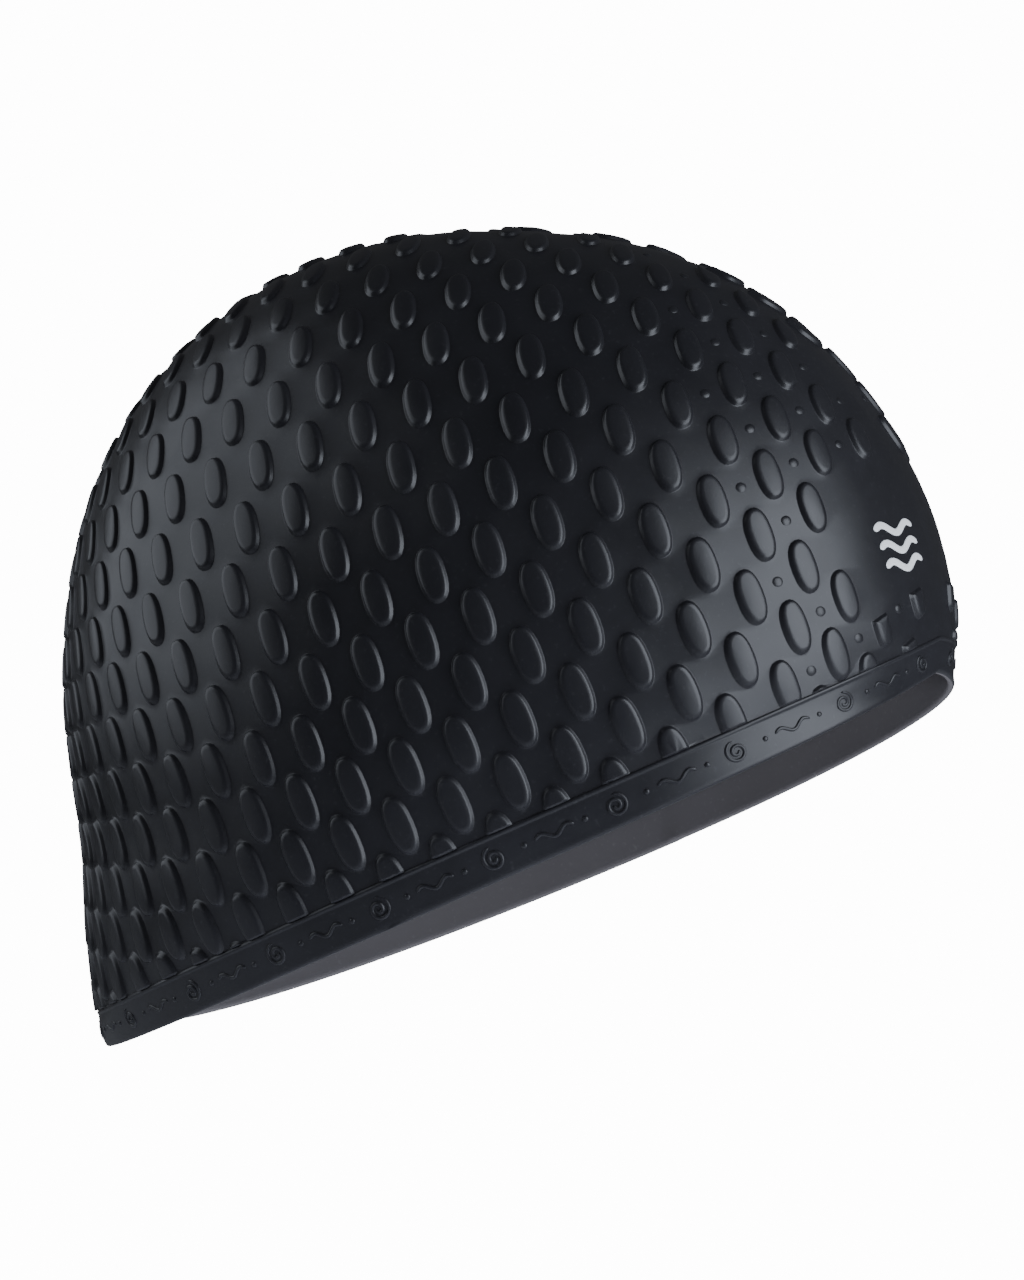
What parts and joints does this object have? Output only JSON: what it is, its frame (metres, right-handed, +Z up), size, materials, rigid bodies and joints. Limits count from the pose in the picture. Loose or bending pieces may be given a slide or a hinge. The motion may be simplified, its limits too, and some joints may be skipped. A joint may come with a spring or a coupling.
{
  "type": "swim cap",
  "caption": "Black silicone swim cap in its worn form: a thin hollow dome with raised oval bubbles, a bare forehead panel and a plain hem round the head opening.",
  "frame": {"origin": "middle of the head opening, in the plane through the rim's front and back ends", "axes": "+X towards the forehead, +Y towards the wearer's left, +Z up on an upright head; the rim rises 24.5 degrees from nape to forehead"},
  "size_m": [0.1924, 0.154, 0.1748],
  "materials": {
    "silicone": "black satin moulded silicone"
  },
  "bodies": {
    "root": {"cap_shell": "silicone"}
  },
  "joints": []
}
